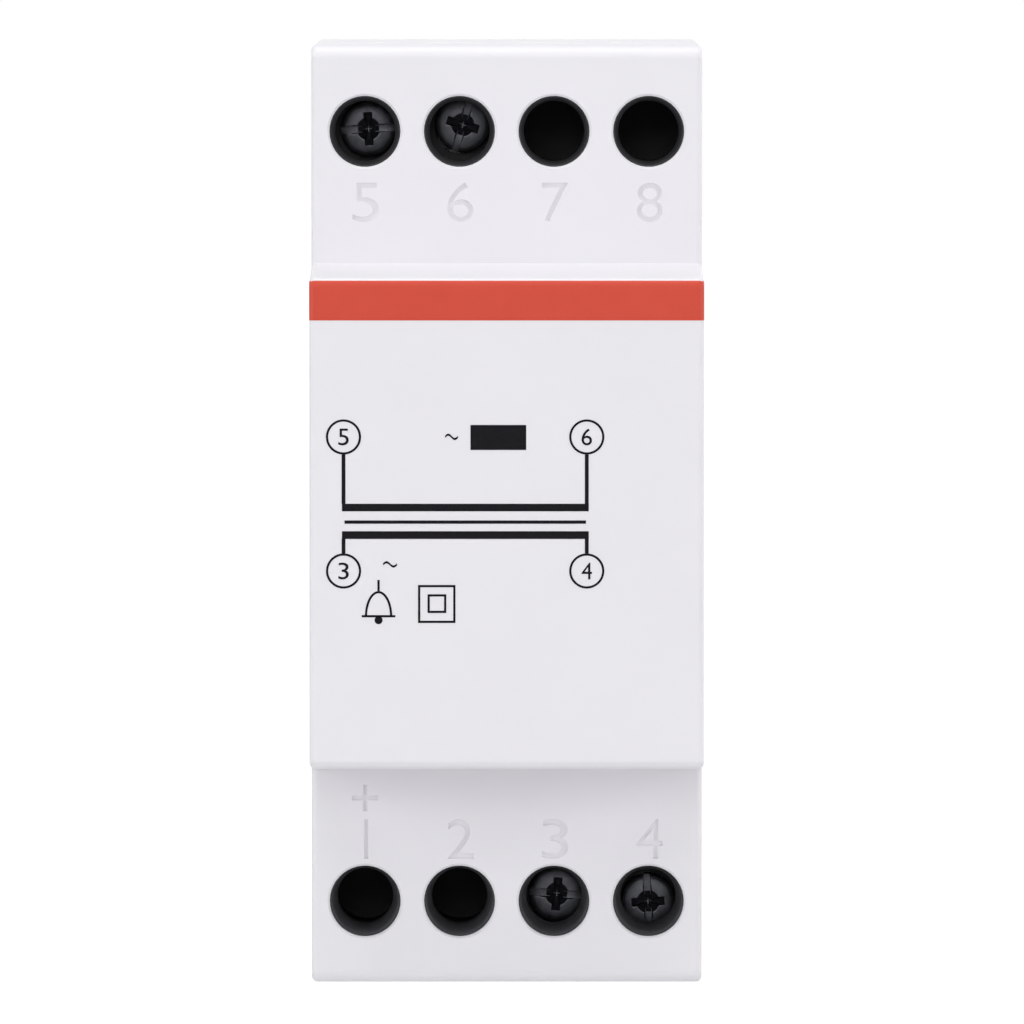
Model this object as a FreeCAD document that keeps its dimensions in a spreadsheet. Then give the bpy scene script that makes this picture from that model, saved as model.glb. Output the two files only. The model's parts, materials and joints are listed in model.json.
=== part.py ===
import FreeCAD, Part
import math
import os
import re

import Sketcher

# Two-module doorbell transformer for a 35 mm rail, in millimetres
# X is the width, the front faces -Y, Z is up
# The origin is the middle of the rail's front face

SIZES = [
    ("housing_width", "35.2", "two modules of 17.6"),
    ("top_reach", "42.5", "rail centre to the top"),
    ("bottom_reach", "42.1", "rail centre to the bottom"),
    ("nose_depth", "58", "rail face to the front of the nose"),
    ("shoulder_depth", "44", "rail face to the shoulders"),
    ("top_shoulder", "20.6", "front of the nose to the top"),
    ("bottom_shoulder", "20.2", "front of the nose to the bottom"),
    ("nose_draft", "0.95", "how far each nose wall slopes"),
    ("flank_depth", "5.5", "how far the flanks reach behind the rail face"),
    ("flank_bevel", "2", "slope at the back corners of the flanks"),
    ("shell_wall", "1.2", "housing wall"),
    ("front_round", "1.2", "upper and lower front edges"),
    ("nose_round", "0.8", "front edges of the nose"),
    ("side_round", "0.5", "edges of the side faces"),
    ("mouth_bevel", "0.2", "edge of a screw hole"),
    ("split_depth", "8", "rail face to the joint of cover and base"),
    ("split_bevel", "0.2", "groove round that joint"),
    ("rim_height", "3.5", "rim of the base inside the cover"),
    ("rim_wall", "1.2", "wall of that rim"),
    ("lap_gap", "0.08", "play of the rim in the cover"),
    ("snap_width", "7", "width of a snap window"),
    ("snap_height", "1.5", "height of a snap window"),
    ("snap_rise", "1.1", "joint to the near edge of a snap window"),
    ("snap_place", "14", "rail centre to the middle of a snap window"),
    ("seat_gap", "0.1", "play of a piece in its seat"),
    ("rail_half", "17.5", "half height of the rail"),
    ("rail_play", "0.4", "room above the rail"),
    ("flange_room", "1.3", "room for the rail's flange behind the face"),
    ("hook_bite", "1.4", "how far the fixed hook reaches over the rail"),
    ("hook_thick", "2.4", "thickness of the fixed hook"),
    ("hook_gap_half", "5.5", "half width of the gap between the two hooks"),
    ("floor_wall", "1.6", "wall in front of the rail"),
    ("clip_room", "1.5", "room under the rail"),
    ("clip_width", "10", "width of the rail clip"),
    ("clip_thick", "2.5", "thickness of the rail clip"),
    ("clip_front", "1.25", "rail face to the front of the clip"),
    ("clip_bite", "1.6", "how far the clip reaches over the rail"),
    ("clip_inset", "0.9", "clip end above the bottom of the housing"),
    ("clip_play", "0.15", "play of the clip in its guide"),
    ("clip_lip", "1.1", "how far the guide's lips reach over the clip"),
    ("guide_side", "2.2", "wall beside the guide"),
    ("eye_width", "4", "screwdriver eye of the clip"),
    ("eye_height", "1.4", "height of that eye"),
    ("eye_inset", "1.6", "clip end to the eye"),
    ("spring_radius", "0.85", "mean radius of the spring"),
    ("spring_wire", "0.2", "radius of the spring's wire"),
    ("spring_pitch", "3", "rise of a turn"),
    ("spring_room", "3.5", "lower edge of the rail to the top of the spring"),
    ("spring_foot", "9.1", "foot of the spring above the bottom of the housing"),
    ("peg_height", "1.8", "peg that the spring stands on"),
    ("peg_half", "1.3", "half width of that peg"),
    ("slot_half", "1.6", "half width of the clip's spring slot"),
    ("pitch_share", "0.242", "between two screw holes, over the width"),
    ("top_row_inset", "7.78", "top to the upper row of screw holes"),
    ("bottom_row_inset", "7.38", "bottom to the lower row of screw holes"),
    ("hole_share", "0.7511", "screw hole, over the way between two"),
    ("hole_step", "0.1", "screw hole to the well behind it"),
    ("head_depth", "6", "shoulder to the screw head"),
    ("empty_floor", "1.2", "floor of an empty well"),
    ("head_share", "0.774", "screw head, over its well"),
    ("head_height", "1.7", "height of the screw head"),
    ("head_bevel", "0.35", "edge of the screw head"),
    ("shank_share", "0.625", "shank of a screw, over its head, M3"),
    ("screw_float", "0.65", "play of the shank in its seat"),
    ("slot_share", "0.333", "slot of a screw head, over the head's radius"),
    ("slot_depth", "0.75", "depth of that slot"),
    ("span_share", "1.2", "cross recess from end to end, over that radius"),
    ("cross_share", "0.4", "arm of the cross recess, over that radius"),
    ("cross_depth", "1.25", "depth of the cross recess"),
    ("seat_plate", "1.2", "web under a screw head"),
    ("head_gap", "0.05", "screw head above its web, and tip above its bar"),
    ("thread_gap", "0.05", "shank in the bore of the cage"),
    ("cage_play", "0.65", "cage to the side walls of its chamber"),
    ("cage_length", "6.4", "cage along the wire"),
    ("cage_head", "1.8", "threaded plate of the cage"),
    ("cage_floor", "1.2", "plate under the wire"),
    ("cage_side", "0.7", "side plates"),
    ("cage_round", "0.6", "bends of the cage"),
    ("cage_stop", "0.2", "cage to the web when closed"),
    ("wire_stop", "0.15", "cage to the bar when closed"),
    ("bar_play", "0.5", "contact bar to the sides of the cage"),
    ("bar_thick", "1.2", "thickness of a contact bar"),
    ("bar_tail", "3.2", "bar past the inner wall of the block"),
    ("bar_bed", "0.8", "bar in the outer wall of the block"),
    ("chamber_half", "4.2", "half of a chamber along the wire"),
    ("chamber_wall", "1.02", "wall between two chambers"),
    ("chamber_back", "0.9", "chamber behind the open cage"),
    ("block_web", "1.2", "inner wall of the block"),
    ("wire_room", "0.2", "wire hole past the bar, and the thickest wire in the open clamp"),
    ("entry_step", "0.85", "wire window to the side of its chamber"),
    ("entry_room", "0.5", "that window past the wire hole"),
    ("entry_bevel", "0.4", "edge of that window"),
    ("shelf_wall", "1.2", "ribs and shelves"),
    ("core_room", "1.9", "core to the ends of the nose"),
    ("core_stack", "16", "stack of laminations"),
    ("core_seat", "4", "rail face to the core"),
    ("core_space", "6", "core to the front of the nose"),
    ("core_joint", "0.05", "air gap between the two stacks"),
    ("tube_gap", "0.15", "bobbin round the leg"),
    ("tube_wall", "0.9", "tube of the bobbin"),
    ("flange_wall", "1", "flanges of the bobbin"),
    ("flange_edge", "0.3", "flange to the outer legs"),
    ("flange_space", "0.7", "flange to the side walls"),
    ("winding_inset", "1.3", "flange edge to the winding"),
    ("winding_gap", "0.08", "winding to the flanges and the tube"),
    ("winding_round", "4.5", "outer corners of a winding"),
    ("tube_round", "0.2", "inner corners of a winding"),
    ("tape_wall", "0.3", "tape round a winding"),
    ("tape_inset", "0.5", "winding edge to the tape"),
    ("cutout_length", "10", "thermal cutout across"),
    ("cutout_depth", "5", "cutout along the depth"),
    ("cutout_height", "3.6", "height of the cutout"),
    ("cutout_round", "0.8", "edges of the cutout"),
    ("lead_radius", "0.5", "insulated inner lead"),
    ("lead_bend", "2", "radius of a bend in a lead"),
    ("lead_gap", "0.02", "end of a lead to what it is joined to"),
    ("lead_room", "0.4", "notch in a flange past its lead"),
]

# Each clamp unit's place across, its end, how far it has settled aside over the room of its screw head,
# and the turn of its slot in degrees
SETTLED = {
    "5": ("-1.5 * well_pitch", "top", 0.386, 0.186, 3),
    "6": ("-0.5 * well_pitch", "top", 0.4, 0.714, 73),
    "3": ("0.5 * well_pitch", "bottom", 0.4, 0.314, -5),
    "4": ("1.5 * well_pitch", "bottom", 0.043, -0.686, 93),
}

DERIVED = {
    "width_half": "housing_width / 2",
    "inner_half": "width_half - shell_wall",
    "rim_inside": "inner_half - lap_gap - rim_wall",
    "wall_stack": "shell_wall + lap_gap + rim_wall",
    "rail_top": "rail_half + rail_play",
    "rail_bottom": "rail_half + clip_room",
    "hook_back": "flange_room + hook_thick",
    "hook_low": "rail_half - hook_bite",
    "clip_half": "clip_width / 2",
    "clip_back": "clip_front + clip_thick",
    "clip_top": "clip_bite - rail_half",
    "clip_end": "clip_inset - bottom_reach",
    "guide_half": "clip_half + clip_play",
    "spring_axis": "clip_front + clip_thick / 2",
    "spring_top": "-rail_half - spring_room",
    "peg_top": "spring_foot - bottom_reach",
    "well_pitch": "housing_width * pitch_share",
    "mouth_radius": "well_pitch * hole_share / 2",
    "well_radius": "mouth_radius - hole_step",
    "head_radius": "well_radius * head_share",
    "head_room": "well_radius - head_radius",
    "screw_radius": "head_radius * shank_share",
    "slot_width": "slot_share * head_radius",
    "cross_span": "span_share * head_radius",
    "cross_width": "cross_share * head_radius",
    "chamber_width": "well_pitch - chamber_wall",
    "cage_width": "chamber_width - 2 * cage_play",
    "bar_width": "cage_width - 2 * cage_side - 2 * bar_play",
    "wire_radius": "bar_width / 2 + wire_room",
    "entry_width": "chamber_width - 2 * entry_step",
    "entry_height": "2 * wire_radius + 2 * entry_room",
    "cage_lift": "2 * wire_radius + wire_room",
    "head_top": "head_depth - shoulder_depth",
    "head_under": "head_top + head_height",
    "web_front": "head_under + head_gap",
    "web_back": "web_front + seat_plate",
    "cage_closed": "web_back + cage_stop",
    "cage_front": "cage_closed + cage_lift",
    "cage_inside": "cage_front + cage_head",
    "screw_tip": "cage_inside + cage_stop",
    "bar_front": "screw_tip + head_gap",
    "bar_back": "bar_front + bar_thick",
    "bar_middle": "bar_front + bar_thick / 2",
    "cage_step": "bar_back + wire_stop + cage_lift",
    "cage_back": "cage_step + cage_floor",
    "cage_depth": "cage_back - cage_front",
    "wire_middle": "(bar_back + cage_step) / 2",
    "block_front": "shell_wall + seat_gap - shoulder_depth",
    "block_back": "cage_back + chamber_back",
    "block_half": "inner_half - seat_gap",
    "core_length": "nose_depth - core_seat - core_space",
    "core_yoke": "core_length / 6",
    "leg_half": "core_length / 6",
    "core_back": "-core_seat",
    "core_front": "core_space - nose_depth",
    "core_middle": "(core_front + core_back) / 2",
    "core_high": "top_nose - core_room",
    "core_low": "core_room - bottom_nose",
    "core_top": "core_high + core_joint",
    "window_low": "core_low + core_yoke",
    "window_high": "core_high - core_yoke",
    "cutout_top": "core_top + cutout_height",
    "bobbin_low": "window_low + tube_gap",
    "bobbin_high": "window_high - tube_gap",
    "bobbin_middle": "(bobbin_low + bobbin_high) / 2",
    "tube_inside_across": "core_stack / 2 + tube_gap",
    "tube_inside_deep": "leg_half + tube_gap",
    "flange_across": "inner_half - flange_space",
    "flange_deep": "core_length / 2 - core_yoke - flange_edge",
    "secondary_low": "bobbin_low + flange_wall + winding_gap",
    "secondary_high": "bobbin_middle - flange_wall / 2 - winding_gap",
    "primary_low": "bobbin_middle + flange_wall / 2 + winding_gap",
    "primary_high": "bobbin_high - flange_wall - winding_gap",
    "link_place": "(tube_inside_across + tube_wall + flange_across - winding_inset) / 2",
}

# The same places at both ends of the housing, counted outwards from the rail's centre
EACH_END = {
    "end_row": "end_reach - end_row_inset",
    "end_nose": "end_reach - end_shoulder",
    "end_root": "end_nose + nose_draft",
    "end_chamber_low": "end_row - chamber_half",
    "end_chamber_high": "end_row + chamber_half",
    "end_block_low": "end_chamber_low - block_web",
    "end_block_high": "end_reach - shell_wall - seat_gap",
    "end_bar_low": "end_block_low - bar_tail",
}
ENDS = ("top", "bottom")
for name, text in EACH_END.items():
    for end in ENDS:
        DERIVED[name.replace("end_", end + "_")] = text.replace("end_", end + "_")

AXES = {"YZ_Plane": 1, "XZ_Plane": -1, "XY_Plane": 1}
# Flats that stand for a thin wire's round section
WIRE_FLATS = 6

doc = FreeCAD.newDocument("doorbell_transformer")
sheet = doc.addObject("Spreadsheet::Sheet", "sizes")
for row, (alias, value, note) in enumerate(SIZES, start=1):
    sheet.set("A%d" % row, alias)
    sheet.set("B%d" % row, value)
    sheet.set("C%d" % row, note)
    sheet.setAlias("B%d" % row, alias)
doc.recompute()

ALIASES = {alias for alias, value, note in SIZES}
subparts = []


def cells(text):
    """An expression on the sheet, from names of sizes and of values worked out from them."""
    def swap(found):
        word = found.group(0)
        if word in ALIASES:
            return "sizes." + word
        if word in DERIVED:
            return "(" + cells(DERIVED[word]) + ")"
        return word
    return re.sub(r"[a-z_]+[a-z0-9_]*", swap, text)


def size(text):
    return float(sheet.evalExpression(cells(text)))


def bind(item, path, text):
    item.setExpression(path, cells(text))


def keep(item, label):
    item.Label = label
    subparts.append(item)
    return item


def new_body(label):
    return keep(doc.addObject("PartDesign::Body", label), label)


def origin_item(body, role):
    return [item for item in body.Origin.OriginFeatures if item.Role == role][0]


def new_sketch(body, role, offset):
    sketch = body.newObject("Sketcher::SketchObject", body.Name + "_sketch")
    sketch.AttachmentSupport = [(origin_item(body, role), "")]
    sketch.MapMode = "FlatFace"
    bind(sketch, "AttachmentOffset.Base.z", offset)
    return sketch


def pin_point(sketch, line, end, place):
    across = sketch.addConstraint(Sketcher.Constraint("DistanceX", -1, 1, line, end, size(place[0])))
    bind(sketch, "Constraints[%d]" % across, place[0])
    along = sketch.addConstraint(Sketcher.Constraint("DistanceY", -1, 1, line, end, size(place[1])))
    bind(sketch, "Constraints[%d]" % along, place[1])


def add_polygon(sketch, places):
    """A closed outline of straight lines through points given as pairs of expressions."""
    corners = [FreeCAD.Vector(size(across), size(along), 0) for across, along in places]
    first = sketch.GeometryCount
    count = len(corners)
    for index in range(count):
        sketch.addGeometry(Part.LineSegment(corners[index], corners[(index + 1) % count]), False)
    for index in range(count):
        following = first + (index + 1) % count
        sketch.addConstraint(Sketcher.Constraint("Coincident", first + index, 2, following, 1))
    for index in range(count):
        pin_point(sketch, first + index, 1, places[index])


def add_rectangle(sketch, left, right, low, high):
    add_polygon(sketch, [(left, low), (right, low), (right, high), (left, high)])


def add_circle(sketch, across, along, radius):
    centre = FreeCAD.Vector(size(across), size(along), 0)
    circle = sketch.addGeometry(Part.Circle(centre, FreeCAD.Vector(0, 0, 1), size(radius)), False)
    pin_point(sketch, circle, 3, (across, along))
    number = sketch.addConstraint(Sketcher.Constraint("Radius", circle, size(radius)))
    bind(sketch, "Constraints[%d]" % number, radius)


def add_rounded(sketch, left, right, low, high, radius):
    """A closed rectangle with round corners, its arcs tangent to its sides."""
    centres = [
        ("%s - (%s)" % (right, radius), "%s + %s" % (low, radius)),
        ("%s - (%s)" % (right, radius), "%s - (%s)" % (high, radius)),
        ("%s + %s" % (left, radius), "%s - (%s)" % (high, radius)),
        ("%s + %s" % (left, radius), "%s + %s" % (low, radius)),
    ]
    round_size, quarter = size(radius), math.pi / 2
    arcs = []
    for index, (across, along) in enumerate(centres):
        centre = FreeCAD.Vector(size(across), size(along), 0)
        circle = Part.Circle(centre, FreeCAD.Vector(0, 0, 1), round_size)
        arc = Part.ArcOfCircle(circle, (index - 1) * quarter, index * quarter)
        arcs.append(sketch.addGeometry(arc, False))
    for index in range(4):
        start = sketch.getPoint(arcs[index], 2)
        end = sketch.getPoint(arcs[(index + 1) % 4], 1)
        line = sketch.addGeometry(Part.LineSegment(start, end), False)
        sketch.addConstraint(Sketcher.Constraint("Tangent", arcs[index], 2, line, 1))
        sketch.addConstraint(Sketcher.Constraint("Tangent", line, 2, arcs[(index + 1) % 4], 1))
    for arc, place in zip(arcs, centres):
        pin_point(sketch, arc, 3, place)
        number = sketch.addConstraint(Sketcher.Constraint("Radius", arc, round_size))
        bind(sketch, "Constraints[%d]" % number, radius)


def extrude(body, kind, role, low, high, draw):
    """Adds or cuts a prism between two places on the axis that is square to the plane."""
    sign = "" if AXES[role] > 0 else "-"
    sketch = new_sketch(body, role, "%s((%s) + (%s)) / 2" % (sign, low, high))
    draw(sketch)
    feature = body.newObject("PartDesign::" + kind, body.Name + "_" + kind.lower())
    feature.Profile = sketch
    feature.SideType = "Symmetric"
    bind(feature, "Length", "(%s) - (%s)" % (high, low))
    body.Tip = feature
    return feature


def prism(body, kind, role, low, high, left, right, bottom, top):
    """The same with a rectangle."""
    return extrude(body, kind, role, low, high,
                   lambda sketch: add_rectangle(sketch, left, right, bottom, top))


def disc(body, kind, role, low, high, across, along, radius):
    """The same with a circle."""
    return extrude(body, kind, role, low, high, lambda sketch: add_circle(sketch, across, along, radius))


def repeat(body, features, count):
    """Repeats the leftmost of some wells to the right."""
    pattern = body.newObject("PartDesign::LinearPattern", body.Name + "_row")
    pattern.Originals = features
    pattern.Direction = (origin_item(body, "X_Axis"), [""])
    pattern.Occurrences = count
    bind(pattern, "Length", "%d * well_pitch" % (count - 1))
    body.Tip = pattern
    return pattern


def dress(body, kind, path, amount, chosen):
    """Rounds or bevels the edges that a test picks."""
    doc.recompute()
    tip = body.Tip
    names = ["Edge%d" % number for number, edge in enumerate(tip.Shape.Edges, start=1) if chosen(edge)]
    feature = body.newObject("PartDesign::" + kind, body.Name + "_" + kind.lower())
    feature.Base = (tip, names)
    bind(feature, path, amount)
    body.Tip = feature
    return feature


def near(first, second):
    return abs(first - second) < 1e-4


def runs_along(edge, axis):
    box = edge.BoundBox
    spans = {"x": box.XLength, "y": box.YLength, "z": box.ZLength}
    return all(spans[name] < 1e-4 for name in spans if name != axis) and spans[axis] > 1e-4


def lies_at(edge, axis, place):
    box = edge.BoundBox
    ends = {"x": (box.XMin, box.XMax), "y": (box.YMin, box.YMax), "z": (box.ZMin, box.ZMax)}[axis]
    return near(ends[0], place) and near(ends[1], place)


def outward(end, text):
    """A place on Z from one that is counted outwards at an end of the housing."""
    return text.replace("end_", "top_") if end == "top" else "-(%s)" % text.replace("end_", "bottom_")


def stretch(end, low, high):
    """The lower and the upper place of a stretch that is counted outwards at an end."""
    places = outward(end, low), outward(end, high)
    return places if end == "top" else places[::-1]


def goes_round_split(edge):
    """Whether an edge is on the outside of the joint of cover and base."""
    box = edge.BoundBox
    inner = size("inner_half + shell_wall / 4")
    past_ends = (box.ZMax > size("top_reach - shell_wall * 3 / 4")
                 or box.ZMin < size("shell_wall * 3 / 4 - bottom_reach"))
    return lies_at(edge, "y", -size("split_depth")) and (box.XMax > inner or box.XMin < -inner or past_ends)


def make_front_cover():
    body = new_body("front_cover")
    outside = [
        ("-split_depth", "-bottom_reach"), ("-shoulder_depth", "-bottom_reach"),
        ("-shoulder_depth", "-bottom_root"), ("-nose_depth", "-bottom_nose"),
        ("-nose_depth", "top_nose"), ("-shoulder_depth", "top_root"),
        ("-shoulder_depth", "top_reach"), ("-split_depth", "top_reach"),
    ]
    extrude(body, "Pad", "YZ_Plane", "-width_half", "width_half",
            lambda sketch: add_polygon(sketch, outside))
    front, shoulder = -size("nose_depth"), -size("shoulder_depth")
    reaches = (size("top_reach"), -size("bottom_reach"))
    dress(body, "Fillet", "Radius", "front_round",
          lambda edge: runs_along(edge, "x") and lies_at(edge, "y", shoulder)
          and any(lies_at(edge, "z", reach) for reach in reaches))
    dress(body, "Fillet", "Radius", "nose_round",
          lambda edge: runs_along(edge, "x") and lies_at(edge, "y", front))
    side, split = size("width_half"), -size("split_depth")
    dress(body, "Fillet", "Radius", "side_round",
          lambda edge: (lies_at(edge, "x", side) or lies_at(edge, "x", -side))
          and not lies_at(edge, "y", split))
    inside = [
        ("shell_wall - split_depth", "shell_wall - bottom_reach"),
        ("shell_wall - shoulder_depth", "shell_wall - bottom_reach"),
        ("shell_wall - shoulder_depth", "shell_wall - bottom_root"),
        ("shell_wall - nose_depth", "shell_wall - bottom_nose"),
        ("shell_wall - nose_depth", "top_nose - shell_wall"),
        ("shell_wall - shoulder_depth", "top_root - shell_wall"),
        ("shell_wall - shoulder_depth", "top_reach - shell_wall"),
        ("shell_wall - split_depth", "top_reach - shell_wall"),
    ]
    extrude(body, "Pocket", "YZ_Plane", "-inner_half", "inner_half",
            lambda sketch: add_polygon(sketch, inside))
    make_cover_ribs(body)
    for end in ENDS:
        mouth = disc(body, "Pocket", "XZ_Plane", "-shoulder_depth - shell_wall", "block_front",
                     "-1.5 * well_pitch", outward(end, "end_row"), "mouth_radius")
        repeat(body, [mouth], 4)
        low, high = stretch(end, "end_reach - 2 * shell_wall", "end_reach + shell_wall")
        entry = prism(body, "Pocket", "XY_Plane", low, high,
                      "-1.5 * well_pitch - entry_width / 2", "entry_width / 2 - 1.5 * well_pitch",
                      "wire_middle - entry_height / 2", "wire_middle + entry_height / 2")
        repeat(body, [entry], 4)
    mouth_size = size("mouth_radius")
    dress(body, "Chamfer", "Size", "mouth_bevel",
          lambda edge: lies_at(edge, "y", shoulder) and near(edge.BoundBox.XLength, 2 * mouth_size))
    entry_low = size("wire_middle - entry_height / 2")
    entry_high = size("wire_middle + entry_height / 2")
    dress(body, "Chamfer", "Size", "entry_bevel",
          lambda edge: any(lies_at(edge, "z", reach) for reach in reaches)
          and edge.BoundBox.YMin > entry_low - 1e-4 and edge.BoundBox.YMax < entry_high + 1e-4
          and edge.BoundBox.XLength < size("entry_width") + 1e-4)
    dress(body, "Chamfer", "Size", "split_bevel", goes_round_split)
    for place in ("snap_place", "-snap_place"):
        prism(body, "Pocket", "YZ_Plane", "-housing_width", "housing_width",
              "-split_depth - snap_rise - snap_height", "-split_depth - snap_rise",
              "%s - snap_width / 2" % place, "%s + snap_width / 2" % place)


def make_cover_ribs(body):
    """Shelves that carry the terminal blocks, and ribs in the nose that hold the core."""
    for end in ENDS:
        low, high = stretch(end, "end_block_low - seat_gap - shelf_wall", "end_block_low - seat_gap")
        prism(body, "Pad", "XZ_Plane", "shell_wall / 2 - shoulder_depth", "bar_front - seat_gap * 4",
              "-inner_half - shell_wall / 2", "inner_half + shell_wall / 2", low, high)
    for side in ("", "-"):
        prism(body, "Pad", "YZ_Plane", "%score_stack / 4 - shelf_wall / 2" % side,
              "%score_stack / 4 + shelf_wall / 2" % side,
              "shell_wall / 2 - nose_depth", "core_front - seat_gap",
              "shell_wall - bottom_nose", "top_nose - shell_wall")


def make_rear_base():
    body = new_body("rear_base")
    outside = [
        ("-split_depth", "-bottom_reach"), ("flank_depth - flank_bevel", "-bottom_reach"),
        ("flank_depth", "flank_bevel - bottom_reach"), ("flank_depth", "-rail_bottom"),
        ("0 * flank_depth", "-rail_bottom"), ("0 * flank_depth", "rail_top"),
        ("flange_room", "rail_top"), ("flange_room", "hook_low"), ("hook_back", "hook_low"),
        ("flank_depth", "hook_low + flank_depth - hook_back"),
        ("flank_depth", "top_reach - flank_bevel"),
        ("flank_depth - flank_bevel", "top_reach"), ("-split_depth", "top_reach"),
    ]
    extrude(body, "Pad", "YZ_Plane", "-width_half", "width_half",
            lambda sketch: add_polygon(sketch, outside))
    side, split = size("width_half"), -size("split_depth")
    flank = size("rail_top")
    dress(body, "Fillet", "Radius", "side_round",
          lambda edge: (lies_at(edge, "x", side) or lies_at(edge, "x", -side))
          and not lies_at(edge, "y", split) and not lies_at(edge, "y", 0)
          and abs(edge.BoundBox.Center.z) > flank)
    dress(body, "Chamfer", "Size", "split_bevel", goes_round_split)
    prism(body, "Pad", "XZ_Plane", "-split_depth - rim_height", "-split_depth",
          "lap_gap - inner_half", "inner_half - lap_gap",
          "wall_stack - rim_wall - bottom_reach", "top_reach - wall_stack + rim_wall")
    prism(body, "Pocket", "XZ_Plane", "-split_depth - 2 * rim_height", "-floor_wall",
          "-rim_inside", "rim_inside", "wall_stack - bottom_reach", "top_reach - wall_stack")
    prism(body, "Pocket", "XZ_Plane", "-2 * floor_wall", "flank_depth - shell_wall",
          "-rim_inside", "rim_inside", "rail_top + shell_wall", "top_reach - wall_stack")
    for left, right in (("-rim_inside", "-guide_half - guide_side"), ("guide_half + guide_side", "rim_inside")):
        prism(body, "Pocket", "XZ_Plane", "-2 * floor_wall", "flank_depth - shell_wall",
              left, right, "wall_stack - bottom_reach", "-rail_bottom - shell_wall")
    prism(body, "Pocket", "XZ_Plane", "flange_room / 2", "2 * flank_depth",
          "-hook_gap_half", "hook_gap_half", "hook_low - shell_wall", "rail_top")
    make_base_posts(body)
    make_clip_guide(body)
    for flip, low, high in ((1, "inner_half - lap_gap - rim_wall / 2", "inner_half + shell_wall / 2"),
                            (-1, "-inner_half - shell_wall / 2", "rim_wall / 2 + lap_gap - inner_half")):
        for place in ("snap_place", "-snap_place"):
            prism(body, "Pad", "YZ_Plane", low, high,
                  "seat_gap - split_depth - snap_rise - snap_height", "-split_depth - snap_rise - seat_gap",
                  "%s - snap_width / 2 + seat_gap" % place, "%s + snap_width / 2 - seat_gap" % place)


def make_base_posts(body):
    """Posts behind the webs of the terminal blocks, and bearers behind the core."""
    for end in ENDS:
        low, high = stretch(end, "end_chamber_low", "end_chamber_high - shelf_wall")
        for place in ("-well_pitch", "0 * well_pitch", "well_pitch"):
            prism(body, "Pad", "XZ_Plane", "block_back + seat_gap", "flank_depth - shell_wall / 2",
                  "%s - chamber_half / 8" % place, "%s + chamber_half / 8" % place, low, high)
    for low, high in (("hook_low / 2", "hook_low / 2 + shelf_wall"),
                      ("-rail_half / 2 - shelf_wall", "-rail_half / 2")):
        prism(body, "Pad", "XZ_Plane", "core_back", "-floor_wall / 2",
              "-core_stack / 2", "core_stack / 2", low, high)


def make_clip_guide(body):
    """Channel for the rail clip, open to the back between two lips, with the peg of its spring."""
    prism(body, "Pocket", "XZ_Plane", "clip_front - clip_play", "clip_back + clip_play",
          "-guide_half", "guide_half", "-bottom_reach - shell_wall", "shell_wall - rail_bottom")
    prism(body, "Pocket", "XZ_Plane", "clip_front", "flank_depth + shell_wall",
          "clip_lip - clip_half", "clip_half - clip_lip", "-bottom_reach - shell_wall",
          "shell_wall - rail_bottom")
    prism(body, "Pad", "XZ_Plane", "0 * clip_front", "clip_back - clip_play",
          "-peg_half", "peg_half", "peg_top - peg_height", "peg_top")


def make_rail_clip():
    body = new_body("rail_clip")
    prism(body, "Pad", "XZ_Plane", "clip_front", "clip_back", "-clip_half", "clip_half", "clip_end", "clip_top")
    prism(body, "Pocket", "XZ_Plane", "clip_front - clip_thick", "clip_back + clip_thick",
          "-slot_half", "slot_half",
          "peg_top - peg_height - clip_play", "spring_top + spring_wire")
    prism(body, "Pocket", "XZ_Plane", "clip_front - clip_thick", "clip_back + clip_thick",
          "-eye_width / 2", "eye_width / 2", "clip_end + eye_inset", "clip_end + eye_inset + eye_height")
    back, top = size("clip_back"), size("clip_top")
    dress(body, "Chamfer", "Size", "clip_thick / 2",
          lambda edge: runs_along(edge, "x") and lies_at(edge, "y", back) and lies_at(edge, "z", top))


def make_clip_spring():
    turns = doc.addObject("Part::Helix", "spring_path")
    bind(turns, "Pitch", "spring_pitch")
    bind(turns, "Height", "spring_top - peg_top - 2 * spring_wire")
    bind(turns, "Radius", "spring_radius")
    section = doc.addObject("Part::RegularPolygon", "spring_section")
    section.Polygon = WIRE_FLATS
    bind(section, "Circumradius", "spring_wire")
    section.Placement.Rotation = FreeCAD.Rotation(FreeCAD.Vector(1, 0, 0), 90)
    bind(section, "Placement.Base.x", "spring_radius")
    spring = keep(doc.addObject("Part::Sweep", "clip_spring"), "clip_spring")
    spring.Sections = [section]
    spring.Spine = (turns, ["Edge1"])
    spring.Solid = True
    spring.Frenet = True
    bind(spring, "Placement.Base.y", "spring_axis")
    bind(spring, "Placement.Base.z", "peg_top + spring_wire")


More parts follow.
